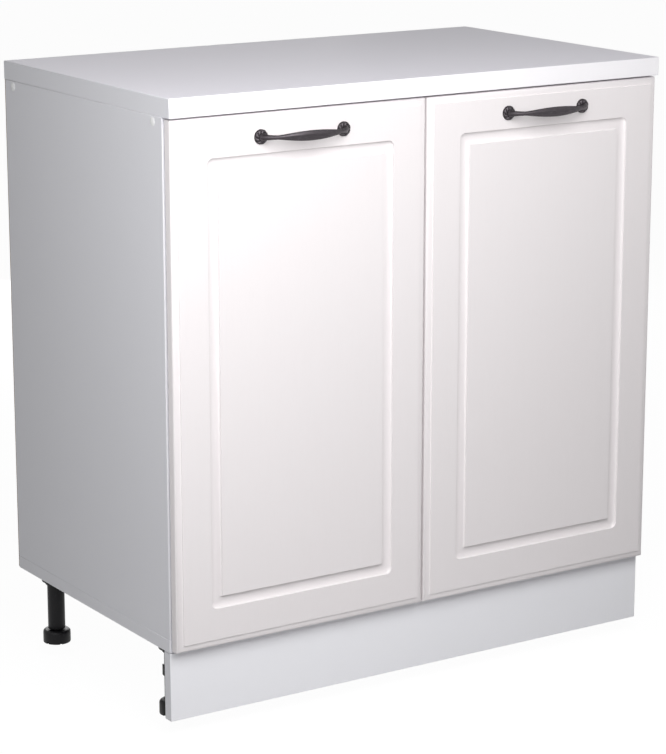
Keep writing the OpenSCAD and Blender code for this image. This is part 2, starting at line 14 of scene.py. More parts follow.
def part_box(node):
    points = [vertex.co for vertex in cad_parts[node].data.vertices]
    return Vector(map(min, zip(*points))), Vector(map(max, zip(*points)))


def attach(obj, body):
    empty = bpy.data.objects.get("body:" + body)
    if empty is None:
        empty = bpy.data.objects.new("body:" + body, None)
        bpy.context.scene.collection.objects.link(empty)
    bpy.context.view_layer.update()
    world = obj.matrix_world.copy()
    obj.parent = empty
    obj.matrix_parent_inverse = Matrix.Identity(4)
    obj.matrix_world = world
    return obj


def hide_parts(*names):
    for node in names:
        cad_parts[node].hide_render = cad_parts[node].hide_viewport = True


bl_info = {
    "name": "Kitchen base cabinet",
    "version": (1, 0, 0),
    "blender": (4, 5, 0),
    "location": "View3D > Sidebar > Cabinet",
    "description": "Builds the doors, boards, handles, legs and finishes of a two-door base cabinet",
    "category": "Object",
}

MM = 0.001
# How far a cutter starts outside the piece that it cuts
CLEAR = 1 * MM
WHITE = (1.0, 1.0, 1.0, 1.0)
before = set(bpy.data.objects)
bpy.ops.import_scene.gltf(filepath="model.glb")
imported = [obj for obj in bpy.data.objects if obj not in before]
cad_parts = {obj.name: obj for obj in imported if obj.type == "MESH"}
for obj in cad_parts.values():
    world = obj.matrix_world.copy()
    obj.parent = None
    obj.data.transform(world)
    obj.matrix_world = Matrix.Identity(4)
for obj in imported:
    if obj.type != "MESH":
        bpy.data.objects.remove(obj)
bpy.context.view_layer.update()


# Colour and node helpers


def linear(code):
    """Turns an sRGB hex code into linear red, green and blue."""
    parts = [int(code[i : i + 2], 16) / 255 for i in (0, 2, 4)]
    return tuple(c / 12.92 if c <= 0.04045 else ((c + 0.055) / 1.055) ** 2.4 for c in parts)


def opaque(colour, share=1.0):
    """A colour with full alpha, darkened to a share of itself."""
    return (colour[0] * share, colour[1] * share, colour[2] * share, 1.0)


def add(tree, kind, values=None, links=None, **settings):
    """Adds one node, with its settings, its socket values and its links from other sockets."""
    made = tree.nodes.new(kind)
    for key, value in settings.items():
        setattr(made, key, value)
    for key, value in (values or {}).items():
        made.inputs[key].default_value = value
    for key, socket in (links or {}).items():
        tree.links.new(socket, made.inputs[key])
    return made


def blank(name):
    """A new material with an empty node tree."""
    made = bpy.data.materials.new(name)
    made.use_nodes = True
    made.node_tree.nodes.clear()
    return made, made.node_tree


def coordinates(tree):
    """The place on the piece, in metres from its origin."""
    return add(tree, "ShaderNodeTexCoord").outputs["Object"]


def stretch(tree, place, scale):
    """A place with each axis multiplied, for a pattern that is longer one way than another."""
    return add(tree, "ShaderNodeMapping", {"Scale": scale}, {"Vector": place}).outputs[0]


def noise(tree, place, scale=1.0, detail=2.0, roughness=0.5):
    """A cloudy pattern between 0 and 1."""
    values = {"Scale": scale, "Detail": detail, "Roughness": roughness}
    return add(tree, "ShaderNodeTexNoise", values, {"Vector": place}).outputs[0]


def bands(tree, place, direction, values):
    """Waves along one axis, between 0 and 1."""
    wave = add(tree, "ShaderNodeTexWave", values, {"Vector": place}, bands_direction=direction)
    return wave.outputs["Fac"]


def ranged(tree, value, low=0.0, high=1.0, start=0.0, end=1.0):
    """Turns a value between start and end into one between low and high, and lets it go no further."""
    values = {"From Min": start, "From Max": end, "To Min": low, "To Max": high}
    return add(tree, "ShaderNodeMapRange", values, {"Value": value}).outputs[0]


def scaled(tree, value, factor):
    """A value times a plain number."""
    return add(tree, "ShaderNodeMath", {1: factor}, {0: value}, operation="MULTIPLY").outputs[0]


def combine(tree, operation, first, second, clamp=False):
    """Adds, subtracts or multiplies two values."""
    links = {0: first, 1: second}
    return add(tree, "ShaderNodeMath", links=links, operation=operation, use_clamp=clamp).outputs[0]


def blend(tree, first, second, share):
    """A colour between two others, by a share."""
    return add(tree, "ShaderNodeMix", {6: first, 7: second}, {0: share}, data_type="RGBA").outputs[2]


def bump(tree, height, strength, distance, invert=False):
    """The relief of a pattern, as a shading normal."""
    values = {"Strength": strength, "Distance": distance}
    return add(tree, "ShaderNodeBump", values, {"Height": height}, invert=invert).outputs[0]


def coat(made, values, links):
    """Gives a finish its shader and its output, and returns it."""
    shader = add(made.node_tree, "ShaderNodeBsdfPrincipled", values, links)
    add(made.node_tree, "ShaderNodeOutputMaterial", links={"Surface": shader.outputs[0]})
    return made


def seen_rays(tree):
    """1 for what is seen, straight, in a shine or through clear plastic, and 0 for rays that carry light."""
    rays = add(tree, "ShaderNodeLightPath").outputs
    seen = combine(tree, "ADD", rays["Is Camera Ray"], rays["Is Glossy Ray"], clamp=True)
    return combine(tree, "ADD", seen, rays["Is Transmission Ray"], clamp=True)


# Finishes


def melamine(name, colour):
    """Melamine-faced board, pressed against a fine pearl plate: an even satin white."""
    made, tree = blank(name)
    place = coordinates(tree)
    # The plate's dimples are about 0.4 mm, drawn at 2 mm so that they show
    dimples = noise(tree, place, scale=500.0)
    # Slow change of tone over about 200 mm, as in a large pressed sheet
    tone = noise(tree, place, scale=5.0)
    paint = blend(tree, opaque(colour), opaque(colour, 0.975), tone)
    shine = ranged(tree, dimples, low=0.36, high=0.5)
    relief = bump(tree, dimples, strength=0.35, distance=0.05 * MM)
    return coat(made, {"IOR": 1.5}, {"Base Color": paint, "Roughness": shine, "Normal": relief})


def edging(name, colour):
    """ABS edge band, extruded and buffed: satin like the board, with faint drag lines."""
    made, tree = blank(name)
    # Lines about 1 mm wide
    lines = noise(tree, stretch(tree, coordinates(tree), (40.0, 40.0, 900.0)), detail=3.0)
    paint = blend(tree, opaque(colour), opaque(colour, 0.98), lines)
    relief = bump(tree, lines, strength=0.2, distance=0.03 * MM)
    return coat(made, {"Roughness": 0.42, "IOR": 1.5}, {"Base Color": paint, "Normal": relief})


def wrap_film(name, colour):
    """PVC film drawn over MDF, embossed with wood pores that run up the door: satin, with fine streaks."""
    made, tree = blank(name)
    place = coordinates(tree)
    # Streaks about 1.5 mm wide and 80 mm long
    streaks = noise(tree, stretch(tree, place, (650.0, 650.0, 12.0)), detail=4.0, roughness=0.6)
    # Pores are 0.2 mm wide and 4 mm long, drawn 0.8 mm wide and 14 mm long so that they show
    pores = noise(tree, stretch(tree, place, (1250.0, 1250.0, 70.0)))
    open_pores = ranged(tree, pores, start=0.6, end=0.7)
    # Arched growth figure, bands about 14 mm apart and much longer than wide
    arches = bands(tree, stretch(tree, place, (9.0, 9.0, 0.9)), "X",
                   {"Scale": 2.5, "Distortion": 9.0, "Detail": 3.0, "Detail Scale": 1.6})
    body = combine(tree, "ADD", streaks, scaled(tree, arches, 0.12))
    height = combine(tree, "SUBTRACT", body, open_pores)
    depth = ranged(tree, height, low=1.0, high=0.0, start=-0.6, end=1.1)
    paint = blend(tree, opaque(colour), opaque(colour, 0.975), depth)
    relief = bump(tree, height, strength=0.4, distance=0.08 * MM)
    return coat(made, {"Roughness": 0.42, "IOR": 1.52}, {"Base Color": paint, "Normal": relief})


def chipboard(name, light, dark):
    """Raw sawn edge of chipboard: pale and dark flakes with small voids, dull and rough."""
    made, tree = blank(name)
    place = coordinates(tree)
    # Flakes 2 to 4 mm long
    flakes = add(tree, "ShaderNodeTexVoronoi", {"Scale": 420.0}, {"Vector": place}).outputs["Distance"]
    mixed = combine(tree, "MULTIPLY", flakes, noise(tree, place, scale=900.0, detail=4.0))
    paint = blend(tree, opaque(light), opaque(dark), ranged(tree, mixed, start=0.05, end=0.5))
    relief = bump(tree, mixed, strength=0.8, distance=0.3 * MM, invert=True)
    return coat(made, {"Roughness": 0.85}, {"Base Color": paint, "Normal": relief})


def hardboard(name, light, dark):
    """Back of hardboard, pressed on a wire screen: brown felted fibre with a fine woven imprint."""
    made, tree = blank(name)
    place = coordinates(tree)
    fibre = noise(tree, place, scale=180.0, detail=6.0, roughness=0.7)
    cloud = noise(tree, place, scale=9.0, detail=3.0)
    # The screen's wires are 1 mm apart, drawn 3 mm apart so that they show
    wires_x = bands(tree, place, "X", {"Scale": 105.0})
    wires_z = bands(tree, place, "Z", {"Scale": 105.0})
    screen = combine(tree, "MULTIPLY", wires_x, wires_z)
    share = combine(tree, "ADD", scaled(tree, fibre, 0.6), cloud, clamp=True)
    paint = blend(tree, opaque(dark), opaque(light), share)
    relief = bump(tree, screen, strength=0.45, distance=0.15 * MM)
    return coat(made, {"Roughness": 0.8}, {"Base Color": paint, "Normal": relief})


def moulded_plastic(name, colour, roughness, grain, specular):
    """Injection-moulded polypropylene: a fine spark-eroded grain, with duller and cleaner patches."""
    made, tree = blank(name)
    place = coordinates(tree)
    # Mould grain is about 0.1 mm, drawn at 0.8 mm so that it shows
    grit = noise(tree, place, scale=1250.0, detail=3.0)
    handling = noise(tree, place, scale=60.0, detail=4.0)
    shine = ranged(tree, handling, low=roughness - 0.06, high=roughness + 0.1)
    paint = blend(tree, opaque(colour), opaque(colour, 0.85), handling)
    relief = bump(tree, grit, strength=grain, distance=0.06 * MM)
    return coat(made, {"IOR": 1.49, "Specular IOR Level": specular},
                {"Base Color": paint, "Roughness": shine, "Normal": relief})


def clear_plastic(name, colour):
    """Cast polyurethane bumper: water-clear and slightly soft at the surface."""
    made, tree = blank(name)
    shine = ranged(tree, noise(tree, coordinates(tree), scale=300.0), low=0.08, high=0.2)
    return coat(made, {"Base Color": opaque(colour), "Transmission Weight": 0.85, "IOR": 1.48},
                {"Roughness": shine})


def antique_metal(name, patina, worn):
    """Cast zinc alloy, plated, blackened and rubbed back from the front: dark hollows, lighter faces."""
    made, tree = blank(name)
    seat = add(tree, "ShaderNodeTexCoord").outputs
    shape = add(tree, "ShaderNodeNewGeometry").outputs["Pointiness"]
    # Rubbing leaves streaks about 1 mm wide and 8 mm long along the handle
    patches = noise(tree, stretch(tree, seat["Object"], (120.0, 900.0, 900.0)), detail=4.0, roughness=0.65)
    ridges = ranged(tree, shape, high=0.7, start=0.5, end=0.6)
    hollows = ranged(tree, shape, low=0.25, start=0.42, end=0.5)
    # The cloth reaches what looks forwards, out of the door
    turn = add(tree, "ShaderNodeSeparateXYZ", links={0: seat["Normal"]}).outputs["Y"]
    front = ranged(tree, turn, high=0.6, start=-0.5, end=-0.9)
    rubbed = ranged(tree, patches, low=0.55, high=1.25, start=0.3, end=0.7)
    faces = combine(tree, "MULTIPLY", front, rubbed)
    wear = combine(tree, "ADD", ridges, combine(tree, "MULTIPLY", faces, hollows), clamp=True)
    paint = blend(tree, opaque(patina), opaque(worn), wear)
    shine = ranged(tree, wear, low=0.5, high=0.34)
    relief = bump(tree, patches, strength=0.3, distance=0.1 * MM)
    return coat(made, {"Metallic": 0.85}, {"Base Color": paint, "Roughness": shine, "Normal": relief})


def plated_steel(name, colour, roughness):
    """Stamped steel with a thin plating: bright, with faint rolling marks and duller patches."""
    made, tree = blank(name)
    place = coordinates(tree)
    marks = noise(tree, stretch(tree, place, (160.0, 160.0, 2200.0)), detail=3.0)
    cloud = noise(tree, place, scale=90.0, detail=3.0)
    shine = ranged(tree, cloud, low=roughness - 0.08, high=roughness + 0.1)
    paint = blend(tree, opaque(colour), opaque(colour, 0.82), cloud)
    relief = bump(tree, marks, strength=0.15, distance=0.03 * MM)
    return coat(made, {"Metallic": 1.0}, {"Base Color": paint, "Roughness": shine, "Normal": relief})


def beech(name, light, dark):
    """Turned beech dowel: pale wood with fine lengthwise flecks."""
    made, tree = blank(name)
    # Flecks about 1 mm wide and 12 mm long
    flecks = noise(tree, stretch(tree, coordinates(tree), (80.0, 900.0, 900.0)), detail=4.0)
    paint = blend(tree, opaque(light), opaque(dark), flecks)
    relief = bump(tree, flecks, strength=0.3, distance=0.05 * MM)
    return coat(made, {"Roughness": 0.6}, {"Base Color": paint, "Normal": relief})


def finish(key):
    """The finish of that name, made the first time that it is asked for."""
    if key in bpy.data.materials:
        return bpy.data.materials[key]
    hues = bpy.context.scene.cabinet_colours
    makers = {
        "melamine_white": lambda: melamine(key, hues.board),
        "melamine_worktop": lambda: melamine(key, hues.worktop),
        # The plinth's brightened copy of the board's melamine carries painted light
        "melamine_plinth": lambda: melamine(key, hues.plinth),
        "edging_white": lambda: edging(key, hues.board),
        # The worktop's front band, a brighter copy of the boards' band as painted light
        "edging_worktop": lambda: edging(key, hues.edging),
        "wrap_film": lambda: wrap_film(key, hues.film),
        "raw_chipboard": lambda: chipboard(key, linear("c9a877"), linear("7a5833")),
        "raw_hardboard": lambda: hardboard(key, linear("8d6a46"), linear("5f4329")),
        "lacquered_hardboard": lambda: melamine(key, hues.board),
        "black_polypropylene": lambda: moulded_plastic(key, hues.legs, 0.45, 0.4, 0.22),
        "white_polypropylene": lambda: moulded_plastic(key, hues.caps, 0.2, 0.1, 0.9),
        "clear_polyurethane": lambda: clear_plastic(key, linear("f1f3f3")),
        "antique_zinc_alloy": lambda: antique_metal(key, hues.patina, hues.worn),
        "nickel_plated_steel": lambda: plated_steel(key, linear("c6c4c0"), 0.3),
        "zinc_plated_steel": lambda: plated_steel(key, linear("cac9c3"), 0.38),
        "turned_beech": lambda: beech(key, linear("d9b98a"), linear("b58d5c")),
    }
    return makers[key]()


# Piece helpers


def shown(name, mesh):
    """Links a new object for a mesh, at the origin."""
    made = bpy.data.objects.new(name, mesh)
    bpy.context.scene.collection.objects.link(made)
    return made


def carve(piece, cutter):
    """Cuts a closed mesh out of a piece, and leaves the result as the piece's own mesh."""
    mesh = bpy.data.meshes.new("cutter")
    cutter.to_mesh(mesh)
    cutter.free()
    tool = shown("cutter", mesh)
    cut = piece.modifiers.new("cut", "BOOLEAN")
    cut.operation = "DIFFERENCE"
    cut.solver = "EXACT"
    cut.object = tool
    graph = bpy.context.evaluated_depsgraph_get()
    made = bpy.data.meshes.new_from_object(piece.evaluated_get(graph))
    piece.modifiers.clear()
    piece.data = made
    bpy.data.objects.remove(tool)


def settle(mesh, angle):
    """Shades a mesh smooth, apart from edges that turn by more than an angle in degrees."""
    bm = bmesh.new()
    bm.from_mesh(mesh)
    for face in bm.faces:
        face.smooth = True
    for edge in bm.edges:
        edge.smooth = len(edge.link_faces) == 2 and edge.calc_face_angle(0.0) < math.radians(angle)
    bm.to_mesh(mesh)
    bm.free()


def make_piece(bm, name, body, finishes, stands_for, cutter=None, angle=32):
    """Turns a bmesh into a piece that rides on a body and stands for CAD nodes."""
    bmesh.ops.recalc_face_normals(bm, faces=bm.faces)
    mesh = bpy.data.meshes.new(name)
    bm.to_mesh(mesh)
    bm.free()
    for key in finishes:
        mesh.materials.append(finish(key))
    piece = shown(name, mesh)
    if cutter is not None:
        carve(piece, cutter)
    settle(piece.data, angle)
    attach(piece, body)
    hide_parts(*stands_for)


def join_in(bm, part):
    """Adds what a part's bmesh holds to another bmesh, and ends the part."""
    mesh = bpy.data.meshes.new("part")
    part.to_mesh(mesh)
    part.free()
    bm.from_mesh(mesh)
    bpy.data.meshes.remove(mesh)


def paint_node(name, key):
    """Gives a CAD node its finish."""
    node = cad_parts[name]
    node.data.materials.clear()
    node.data.materials.append(finish(key))


def box_between(bm, low, high):
    """Adds a box between two corners, and returns its vertices."""
    low, high = Vector(low), Vector(high)
    place = Matrix.Translation((low + high) / 2) @ Matrix.Diagonal((*(high - low), 1.0))
    return bmesh.ops.create_cube(bm, size=1.0, matrix=place)["verts"]


def rod(bm, start, end, radius, segments=32):
    """Adds a closed cylinder between two points."""
    start, end = Vector(start), Vector(end)
    turn = (end - start).to_track_quat("Z", "Y").to_matrix().to_4x4()
    place = Matrix.Translation((start + end) / 2) @ turn
    bmesh.ops.create_cone(bm, cap_ends=True, segments=segments, radius1=radius, radius2=radius,
                          depth=(end - start).length, matrix=place)


def round_edges(bm, edges, radius, segments=2):
    """Rounds edges by a radius."""
    bmesh.ops.bevel(bm, geom=list(edges), offset=radius, offset_type="OFFSET", segments=segments,
                    profile=0.5, affect="EDGES", material=-1, clamp_overlap=True)


def turned(bm, outline, steps=48):
    """Spins an outline of (radius, height) points round Z into a closed shape."""
    verts = [bm.verts.new((r, 0.0, z)) for r, z in outline]
    edges = [bm.edges.new(pair) for pair in zip(verts, verts[1:])]
    bmesh.ops.spin(bm, geom=verts + edges, cent=(0, 0, 0), axis=(0, 0, 1), dvec=(0, 0, 0),
                   angle=2 * math.pi, steps=steps, use_merge=True, use_duplicate=False)
    bmesh.ops.remove_doubles(bm, verts=bm.verts, dist=0.002 * MM)


# Sizes and colours


class CabinetColours(bpy.types.PropertyGroup):
    """Colours of the finishes."""

    board: FloatVectorProperty(
        name="Boards", description="White of the carcass boards", subtype="COLOR", default=linear("ebebf0"),
        min=0.0, max=1.0)
    worktop: FloatVectorProperty(
        name="Worktop", description="White of the worktop's face", subtype="COLOR",
        default=linear("e8e5ee"), min=0.0, max=1.0)
    # Brighter than the boards' band that the worktop's ends take: painted light on the front, where the
    # lamps fall
    edging: FloatVectorProperty(
        name="Edging", description="White of the worktop's edge band", subtype="COLOR",
        default=linear("fcfafd"), min=0.0, max=1.0)
    # Raised near pure white, above the boards' own white: partly the plinth's cooler white and partly
    # painted light that makes up for the shade under the doors
    plinth: FloatVectorProperty(
        name="Plinth", description="Cool white of the plinth", subtype="COLOR", default=linear("fbfbff"),
        min=0.0, max=1.0)
    film: FloatVectorProperty(
        name="Door film", description="Warm white of the doors' film", subtype="COLOR",
        default=linear("f0ebec"), min=0.0, max=1.0)
    legs: FloatVectorProperty(
        name="Legs", description="Black of the legs and feet", subtype="COLOR", default=linear("0d0c0f"),
        min=0.0, max=1.0)
    caps: FloatVectorProperty(
        name="Caps", description="White of the screw caps", subtype="COLOR", default=linear("fdfdfe"),
        min=0.0, max=1.0)
    patina: FloatVectorProperty(
        name="Patina", description="Dark of the handles' hollows", subtype="COLOR",
        default=linear("1b181b"), min=0.0, max=1.0)
    worn: FloatVectorProperty(
        name="Worn metal", description="Rubbed edges of the handles", subtype="COLOR",
        default=linear("585357"), min=0.0, max=1.0)


class CabinetStage(bpy.types.PropertyGroup):
    """Camera, lamps and floor."""

    camera_place: FloatVectorProperty(
        name="Camera", description="Where the camera stands", subtype="TRANSLATION", unit="LENGTH",
        default=(-2.042, -3.132, 1.305))
    heading: FloatProperty(
        name="Heading", description="Camera's turn from the back towards the right",
        default=math.radians(32.99), subtype="ANGLE", unit="ROTATION")
    pitch: FloatProperty(
        name="Pitch", description="How far the camera looks down", default=math.radians(13.82),
        subtype="ANGLE", unit="ROTATION")
    lens: FloatProperty(
        name="Lens", description="Focal length of the camera", default=126.67, min=20.0, unit="CAMERA")
    lamp_size: FloatProperty(
        name="Lamp size", description="Side of each square soft lamp", default=1.0, unit="LENGTH")
    front_place: FloatVectorProperty(
        name="Front lamp", description="Where the lamp in front of the doors stands", subtype="TRANSLATION",
        unit="LENGTH", default=(-0.35, -1.3, 1.4))
    front_power: FloatProperty(
        name="Front power", description="Power of the front lamp", default=21.0, unit="POWER")
    side_place: FloatVectorProperty(
        name="Side lamp", description="Where the lamp on the left stands", subtype="TRANSLATION",
        unit="LENGTH", default=(-1.0, -0.6, 0.9))
    side_power: FloatProperty(
        name="Side power", description="Power of the side lamp", default=4.8, unit="POWER")
    fill_place: FloatVectorProperty(
        name="Fill lamp", description="Where the low lamp behind the object stands", subtype="TRANSLATION",
        unit="LENGTH", default=(1.1, 2.5, 0.45))
    fill_power: FloatProperty(
        name="Fill power", description="Power of the fill lamp", default=24.0, unit="POWER")
    sky: FloatProperty(
        name="Sky", description="Strength of the even light from all round", default=0.11, min=0.0)
    floor_side: FloatProperty(
        name="Floor", description="Side of the square floor", default=40.0, unit="LENGTH")
    floor_drop: FloatProperty(
        name="Floor drop", description="Room under the feet, for when they are screwed out",
        default=20.5 * MM, unit="LENGTH")


class CabinetDoors(bpy.types.PropertyGroup):
    """Sizes of the wrapped doors."""

    band_width: FloatProperty(
        name="Band width", description="Width of the rounded band round the front", default=9.5 * MM,
        unit="LENGTH")
    band_depth: FloatProperty(
        name="Band depth", description="Depth of the rounded band at the door's edge", default=5 * MM,
        unit="LENGTH")
    band_step: FloatProperty(
        name="Band step", description="Small step between the flat front and the band", default=1.5 * MM,
        unit="LENGTH")
    frame_width: FloatProperty(
        name="Frame width", description="Flat frame, from the door's edge to the groove", default=53 * MM,
        unit="LENGTH")
    groove_width: FloatProperty(
        name="Groove width", description="Width of the milled groove", default=17 * MM, unit="LENGTH")
    groove_depth: FloatProperty(
        name="Groove depth", description="Depth of the milled groove", default=5 * MM, unit="LENGTH")
    groove_step: FloatProperty(
        name="Groove step", description="Upright step at the groove's edges", default=1.3 * MM,
        unit="LENGTH")
    bore_radius: FloatProperty(
        name="Bore radius", description="Radius of the bores for the hinge cups", default=17.5 * MM,
        unit="LENGTH")
    bore_depth: FloatProperty(
        name="Bore depth", description="Depth of the bores for the hinge cups", default=11.2 * MM,
        unit="LENGTH")
    bore_edge: FloatProperty(
        name="Bore distance", description="Middle of a bore from the door's hinge edge", default=20.5 * MM,
        unit="LENGTH")
    bore_height: FloatProperty(
        name="Bore height", description="Middle of a bore from the door's nearest end", default=100 * MM,
        unit="LENGTH")


class CabinetHandles(bpy.types.PropertyGroup):
    """Sizes of the arched handles."""

    span: FloatProperty(
        name="Span", description="Distance between the handle's screws", default=128 * MM, unit="LENGTH")
    base_height: FloatProperty(
        name="Base height", description="Height of the round bases", default=6 * MM, unit="LENGTH")
    base_radius: FloatProperty(
        name="Base radius", description="Radius of the round bases", default=10 * MM, unit="LENGTH")
    bow_height: FloatProperty(
        name="Bow height", description="Height of the bow at its middle", default=13.5 * MM, unit="LENGTH")
    bow_thickness: FloatProperty(
        name="Bow thickness", description="Thickness of the bow at its middle", default=6 * MM,
        unit="LENGTH")
    neck_radius: FloatProperty(
        name="Neck radius", description="Radius of the bow's slim necks", default=2.8 * MM, unit="LENGTH")
    end_radius: FloatProperty(
        name="End radius", description="Radius of the bow where it leaves the bases", default=4.5 * MM,
        unit="LENGTH")
    lean: FloatProperty(
        name="Lean", description="How far the bow leans inwards as it leaves the bases", default=12 * MM,
        unit="LENGTH")
    petals: IntProperty(
        name="Petals", description="Petals in the relief of each base", default=8, min=5, max=12)


class CabinetBoards(bpy.types.PropertyGroup):
    """Sizes of the boards' edges, holes and caps."""

    edge_radius: FloatProperty(
        name="Edge radius", description="Rounding of the boards' edges", default=0.8 * MM, unit="LENGTH")
    worktop_radius: FloatProperty(
        name="Worktop radius", description="Rounding of the worktop's edges", default=0.9 * MM,
        unit="LENGTH")
    plinth_gap: FloatProperty(
        name="Plinth gap", description="Gap between the plinth and the bottom panel", default=1 * MM,
        unit="LENGTH")
    pin_radius: FloatProperty(
        name="Pin holes", description="Radius of the shelf pin holes", default=2.55 * MM, unit="LENGTH")
    cap_radius: FloatProperty(
        name="Cap radius", description="Radius of the screw caps", default=6.25 * MM, unit="LENGTH")
    pin_pitch: FloatProperty(
        name="Pin spacing", description="Distance between shelf pin holes", default=32 * MM, unit="LENGTH")


class CabinetLegs(bpy.types.PropertyGroup):
    """Sizes of the legs and screw feet."""

    tube_radius: FloatProperty(
        name="Tube radius", description="Radius of the leg tube", default=12.5 * MM, unit="LENGTH")
    flange_radius: FloatProperty(
        name="Flange radius", description="Radius of the leg's flange", default=20 * MM, unit="LENGTH")
    flange_height: FloatProperty(
        name="Flange height", description="Thickness of the leg's flange", default=7 * MM, unit="LENGTH")
    step_radius: FloatProperty(
        name="Step radius", description="Radius of the step under the flange", default=15.1 * MM,
        unit="LENGTH")
    step_height: FloatProperty(
        name="Step height", description="Height of the step under the flange", default=5 * MM,
        unit="LENGTH")
    foot_radius: FloatProperty(
        name="Foot radius", description="Radius of the foot", default=20 * MM, unit="LENGTH")
    foot_height: FloatProperty(
        name="Foot height", description="Height of the foot's base", default=19 * MM, unit="LENGTH")
    spindle_radius: FloatProperty(
        name="Spindle radius", description="Outer radius of the threaded spindle", default=6 * MM,
        unit="LENGTH")
    spindle_length: FloatProperty(
        name="Spindle length", description="Length of the threaded spindle", default=46 * MM, unit="LENGTH")
    thread_pitch: FloatProperty(
        name="Thread pitch", description="Rise of the spindle's thread for one turn", default=2.5 * MM,
        unit="LENGTH")


# Pieces


class CABINET_OT_stage(bpy.types.Operator):
    """Sets up the camera, the soft lamps, the even light and the pale floor"""

    bl_idname = "cabinet.stage"
    bl_label = "Stage"

    def execute(self, context):
        sizes = context.scene.cabinet_stage
        context.scene.view_settings.view_transform = "Standard"
        camera = bpy.data.objects.new("camera", bpy.data.cameras.new("camera"))
        camera.data.sensor_width = 36.0
        camera.data.lens = sizes.lens
        camera.data.clip_end = 200.0
        camera.location = sizes.camera_place
        camera.rotation_euler = (math.pi / 2 - sizes.pitch, 0.0, -sizes.heading)
        context.scene.collection.objects.link(camera)
        context.scene.camera = camera

        # Name, place, power, and the point that the lamp faces. The fill lamp stands lower than the worktop,
        # so that it lights the back and the right side alone.
        lamps = (
            ("front_lamp", sizes.front_place, sizes.front_power, (0.0, -0.1, 0.5)),
            ("side_lamp", sizes.side_place, sizes.side_power, (0.0, -0.1, 0.5)),
            ("fill_lamp", sizes.fill_place, sizes.fill_power, (0.1, 0.2, 0.42)),
        )
        for name, place, power, aim in lamps:
            self.hang_lamp(context, name, place, power, aim, sizes.lamp_size)
        self.light_sky(context, sizes.sky)
        self.lay_floor(sizes.floor_side, sizes.floor_drop)
        return {"FINISHED"}

    def hang_lamp(self, context, name, place, power, aim, size):
        """A square soft lamp at a place, turned towards a point."""
        lamp = bpy.data.objects.new(name, bpy.data.lights.new(name, "AREA"))
        lamp.data.size = size
        lamp.data.energy = power
        lamp.location = place
        lamp.rotation_euler = (Vector(aim) - lamp.location).to_track_quat("-Z", "Y").to_euler()
        context.scene.collection.objects.link(lamp)

    def light_sky(self, context, strength):
        """White behind the object, and an even light on it."""
        world = bpy.data.worlds.new("sky")
        world.use_nodes = True
        context.scene.world = world
        tree = world.node_tree
        tree.nodes.clear()
        light = add(tree, "ShaderNodeBackground", {"Color": WHITE, "Strength": strength})
        # As bright as the far floor, so that no line shows where the two meet
        ground = add(tree, "ShaderNodeBackground", {"Color": WHITE, "Strength": 0.98})
        both = add(tree, "ShaderNodeMixShader",
                   links={0: seen_rays(tree), 1: light.outputs[0], 2: ground.outputs[0]})
        add(tree, "ShaderNodeOutputWorld", links={"Surface": both.outputs[0]})

    def lay_floor(self, side, drop):
        """A pale floor that keeps a faint shadow, low enough for the feet at the end of their threads."""
        bm = bmesh.new()
        place = Matrix.Translation((0, 0, -drop))
        bmesh.ops.create_grid(bm, x_segments=1, y_segments=1, size=side / 2, matrix=place)
        mesh = bpy.data.meshes.new("floor")
        bm.to_mesh(mesh)
        bm.free()
        floor = shown("floor", mesh)
        made, tree = blank("pale_floor")
        pale = (0.45, 0.45, 0.455, 1.0)
        dull = add(tree, "ShaderNodeBsdfDiffuse", {"Color": pale})
        glow = add(tree, "ShaderNodeEmission", {"Color": WHITE, "Strength": 1.1})
        # What is seen is mostly the glow, and the rest is the dull floor with its shadow
        share = scaled(tree, seen_rays(tree), 0.88)
        both = add(tree, "ShaderNodeMixShader", links={0: share, 1: dull.outputs[0], 2: glow.outputs[0]})
        add(tree, "ShaderNodeOutputMaterial", links={"Surface": both.outputs[0]})
        mesh.materials.append(made)


# Places of the materials on a board: its wide faces, its banded edges, its raw edges and its ends
FACE, BAND, RAW, END = range(4)


